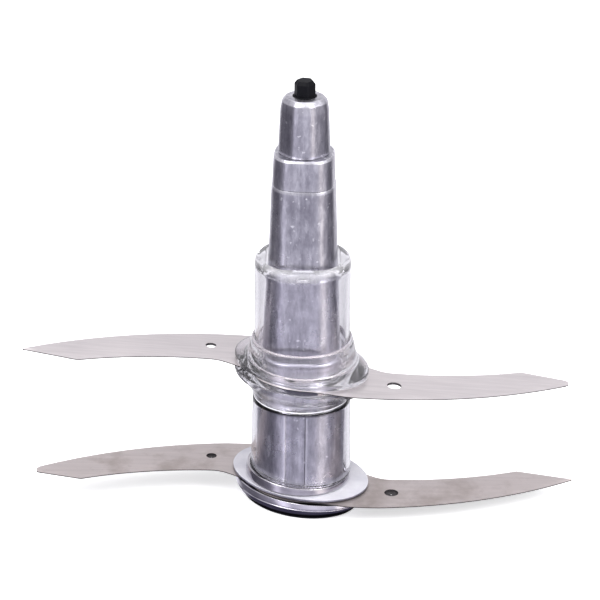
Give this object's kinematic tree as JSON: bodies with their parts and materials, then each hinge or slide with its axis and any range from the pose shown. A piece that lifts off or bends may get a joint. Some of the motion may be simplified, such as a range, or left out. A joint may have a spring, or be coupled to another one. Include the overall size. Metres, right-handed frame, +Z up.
{
  "type": "two-tier chopper blade rotor",
  "caption": "Food chopper rotor: thin S-shaped steel blades on two tiers of a clear hub over a stepped, tapered metal spindle with a black drive pin.",
  "frame": {"origin": "on the spindle's axis, at the underside of the foot", "axes": "+Z up along the spindle to the drive pin; +X along the blades, towards the arm that points right when seen from the front (-Y)"},
  "size_m": [0.1288, 0.0306, 0.104],
  "materials": {
    "black_nylon": "satin moulded",
    "cast_metal": "die-cast, dull and lightly scuffed",
    "polished_metal": "polished",
    "blade_steel": "satin stamped stainless",
    "screw_steel": "bright zinc",
    "white_nylon": "moulded",
    "seal": "translucent silicone",
    "clear_plastic": "clear, polished, faint lavender tint"
  },
  "bodies": {
    "rotor": {"drive_pin": "black_nylon", "drive_head": "cast_metal", "neck_collar": "cast_metal", "spindle": "cast_metal", "hub_core": "cast_metal", "bearing_bush": "white_nylon", "thrust_pad": "white_nylon", "base_ring": "polished_metal", "hub_barrel": "clear_plastic", "seam_seal": "seal", "lower_flange": "clear_plastic", "lower_blade": "blade_steel", "foot_cup": "polished_metal", "foot_sole": "black_nylon", "clamp_screw_left": "screw_steel", "clamp_screw_right": "screw_steel"},
    "upper_tier": {"upper_sleeve": "clear_plastic", "upper_collar": "clear_plastic", "upper_blade": "blade_steel", "cone_collar": "clear_plastic"}
  },
  "joints": [
    {"name": "upper_tier_lift", "type": "slide", "parent": "rotor", "child": "upper_tier", "axis": [0, 0, 1], "range_m": [0, 0.08]}
  ]
}
